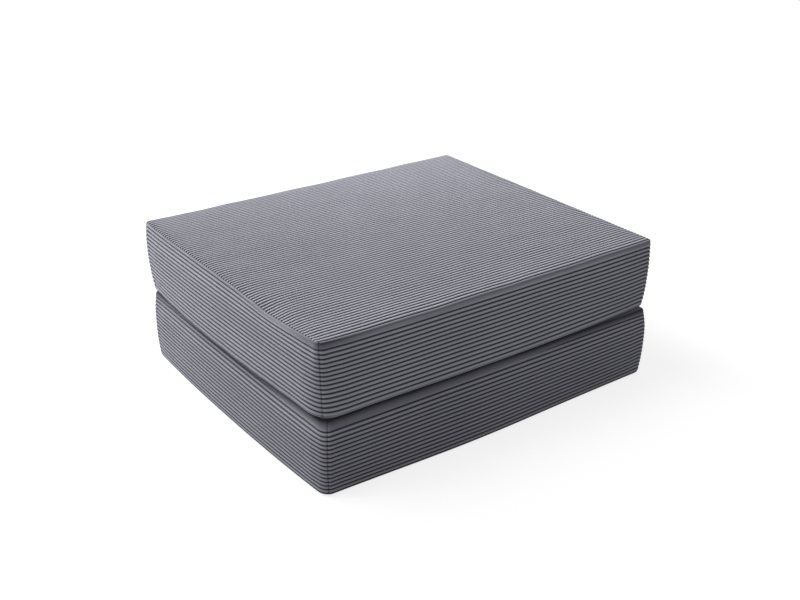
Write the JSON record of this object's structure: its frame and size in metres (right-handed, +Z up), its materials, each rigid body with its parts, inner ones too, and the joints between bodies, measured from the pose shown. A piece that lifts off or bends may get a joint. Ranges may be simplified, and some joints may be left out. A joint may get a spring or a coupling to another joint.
{
  "type": "fold out ottoman guest bed",
  "caption": "Stacked corduroy foam slabs form a low ottoman and unfold on a cloth hinge into a level guest bed; each cover has a zip along its back.",
  "frame": {"origin": "middle of the footprint at floor level, folded up", "axes": "+X along the bed's length to the hinge side, +Y to the back with the zips, +Z up"},
  "size_m": [0.9499, 0.8125, 0.3579],
  "materials": {
    "corduroy": "grey wide-wale corduroy, soft sheen",
    "foam": "open-cell polyurethane foam, matte",
    "wadding": "polyester wadding, matte",
    "hinge_tape": "grey woven tape, matte",
    "zip_stringer": "grey woven tape with a nylon coil",
    "zip_metal": "grey lacquered zinc, satin"
  },
  "bodies": {
    "base_slab": {"base_foam_core": "foam", "base_floor_wadding": "wadding", "base_sleeping_wadding": "wadding", "base_floor_panel": "corduroy", "base_sleeping_panel": "corduroy", "base_front_border": "corduroy", "base_end_border": "corduroy", "base_hinge_border": "corduroy", "base_back_border_upper": "corduroy", "base_back_border_lower": "corduroy", "base_zip_stringer_upper": "zip_stringer", "base_zip_stringer_lower": "zip_stringer", "base_zip_top_stop": "zip_metal", "base_zip_bottom_stop": "zip_metal", "hinge_tape_base_half": "hinge_tape"},
    "top_slab": {"top_foam_core": "foam", "top_sleeping_wadding": "wadding", "top_seat_wadding": "wadding", "top_sleeping_panel": "corduroy", "top_seat_panel": "corduroy", "top_front_border": "corduroy", "top_end_border": "corduroy", "top_hinge_border": "corduroy", "top_back_border_upper": "corduroy", "top_back_border_lower": "corduroy", "top_zip_stringer_upper": "zip_stringer", "top_zip_stringer_lower": "zip_stringer", "top_zip_top_stop": "zip_metal", "top_zip_bottom_stop": "zip_metal", "hinge_tape_top_half": "hinge_tape"},
    "base_zip_slider": {"base_zip_slider": "zip_metal"},
    "base_zip_pull": {"base_zip_pull": "zip_metal"},
    "top_zip_slider": {"top_zip_slider": "zip_metal"},
    "top_zip_pull": {"top_zip_pull": "zip_metal"}
  },
  "joints": [
    {"name": "fold_hinge", "type": "hinge", "parent": "base_slab", "child": "top_slab", "pos_m": [0.47515, 0, 0.179], "axis": [0, 1, 0], "range_deg": [0, 180]},
    {"name": "base_zip_slide", "type": "slide", "parent": "base_slab", "child": "base_zip_slider", "axis": [-1, 0, 0], "range_m": [0, 0.7984]},
    {"name": "base_zip_pull_swing", "type": "hinge", "parent": "base_zip_slider", "child": "base_zip_pull", "pos_m": [0.3992, 0.39579, 0.08942], "axis": [0, 0, -1], "range_deg": [0, 180]},
    {"name": "top_zip_slide", "type": "slide", "parent": "top_slab", "child": "top_zip_slider", "axis": [-1, 0, 0], "range_m": [0, 0.7984]},
    {"name": "top_zip_pull_swing", "type": "hinge", "parent": "top_zip_slider", "child": "top_zip_pull", "pos_m": [0.3992, 0.40573, 0.29871], "axis": [0, 0, -1], "range_deg": [0, 180]}
  ]
}
